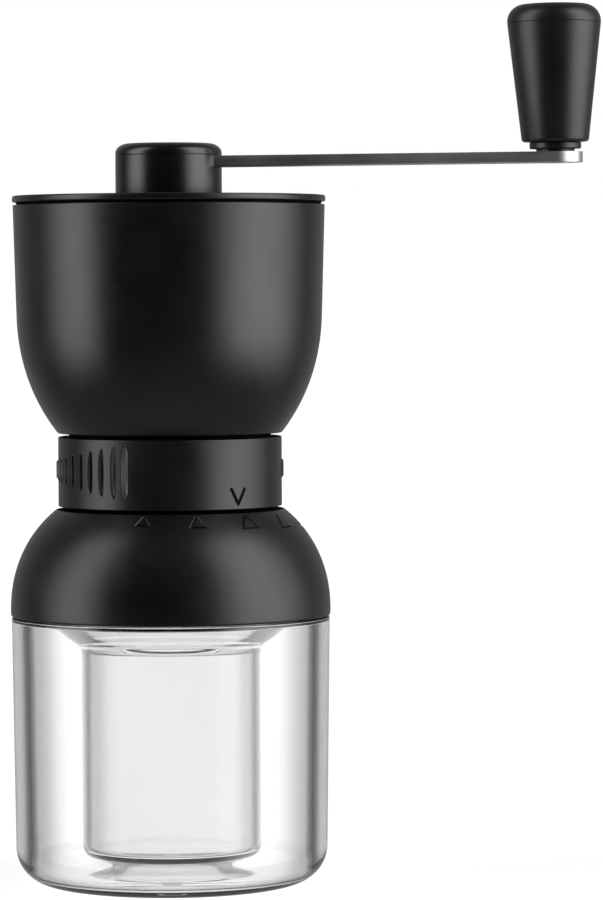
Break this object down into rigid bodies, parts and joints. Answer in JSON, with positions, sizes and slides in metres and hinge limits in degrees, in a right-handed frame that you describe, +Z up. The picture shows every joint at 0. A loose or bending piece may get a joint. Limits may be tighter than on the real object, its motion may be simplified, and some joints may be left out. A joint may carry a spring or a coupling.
{
  "type": "hand crank coffee grinder",
  "caption": "Manual coffee grinder: crank and knob over a lidded hopper, a click ring that sets the conical burr gap, and a double-walled glass jar for the grounds.",
  "frame": {"origin": "centre of the jar's underside, on the surface it stands on", "axes": "+Z up the grinding shaft, +X along the crank arm at rest, +Y towards the back"},
  "size_m": [0.1671, 0.0904, 0.248],
  "materials": {
    "body_plastic": "satin moulded black, fine grain",
    "ring_plastic": "satin moulded black, slightly duller than the housing",
    "acetal": "natural white acetal",
    "steel": "turned stainless steel",
    "satin_steel": "satin flat strip with blanked edges",
    "bronze": "sintered bronze",
    "ceramic": null,
    "silicone": "matte black silicone",
    "clear_silicone": "translucent silicone",
    "glass": "clear blown borosilicate"
  },
  "bodies": {
    "jar": {"glass_jar": "glass", "jar_vent_plug": "clear_silicone"},
    "head": {"lower_housing": "body_plastic", "lower_bridge": "body_plastic", "lower_bush": "bronze", "jar_gasket": "silicone", "housing_screw_1": "steel", "housing_screw_2": "steel", "housing_screw_3": "steel", "hopper": "body_plastic", "upper_bridge": "body_plastic", "upper_bush": "bronze", "hopper_screw_1": "steel", "hopper_screw_2": "steel", "hopper_screw_3": "steel", "detent_ball": "steel", "detent_spring": "steel"},
    "ring": {"adjusting_ring": "ring_plastic", "cam_sleeve": "acetal"},
    "carrier": {"burr_carrier": "acetal", "ring_burr": "ceramic", "burr_retainer": "steel", "cam_pin_1": "steel", "cam_pin_2": "steel", "cam_pin_3": "steel"},
    "shaft": {"drive_shaft": "steel", "cone_burr": "ceramic", "drive_pin": "steel", "shaft_washer": "steel", "shaft_nut": "steel", "shaft_clip": "steel"},
    "lid": {"hopper_lid": "body_plastic", "lid_bush": "bronze", "lid_seal": "silicone"},
    "crank": {"crank_hub": "body_plastic", "crank_hub_cap": "body_plastic", "hub_socket": "steel", "hub_clip": "steel", "hub_screw_1": "steel", "hub_screw_2": "steel", "crank_arm": "satin_steel", "knob_spindle": "steel", "knob_washer": "acetal", "knob_retainer": "steel"},
    "knob": {"knob_grip": "body_plastic", "knob_cap": "body_plastic", "knob_sleeve": "body_plastic"}
  },
  "joints": [
    {"name": "head_lift", "type": "slide", "parent": "jar", "child": "head", "axis": [0, 0, 1], "range_m": [0, 0.05]},
    {"name": "ring_turn", "type": "hinge", "parent": "head", "child": "ring", "pos_m": [0, 0, 0.11645], "axis": [0, 0, 1], "range_deg": [-51.5, 51.5]},
    {"name": "burr_set", "type": "slide", "parent": "head", "child": "carrier", "axis": [0, 0, 1], "range_m": [-0.00064, 0.00064]},
    {"name": "shaft_spin", "type": "hinge", "parent": "head", "child": "shaft", "pos_m": [0, 0, 0.13], "axis": [0, 0, 1], "continuous": true},
    {"name": "lid_lift", "type": "slide", "parent": "head", "child": "lid", "axis": [0, 0, 1], "range_m": [0, 0.05]},
    {"name": "crank_turn", "type": "hinge", "parent": "lid", "child": "crank", "pos_m": [0, 0, 0.2], "axis": [0, 0, 1], "continuous": true},
    {"name": "knob_spin", "type": "hinge", "parent": "crank", "child": "knob", "pos_m": [0.109, 0, 0.2046], "axis": [-0.0087, 0, 1], "continuous": true}
  ],
  "couplings": [
    {"joint": "burr_set", "follows": "ring_turn", "m_per_rad": 0.0007},
    {"joint": "shaft_spin", "follows": "crank_turn", "ratio": 1}
  ]
}
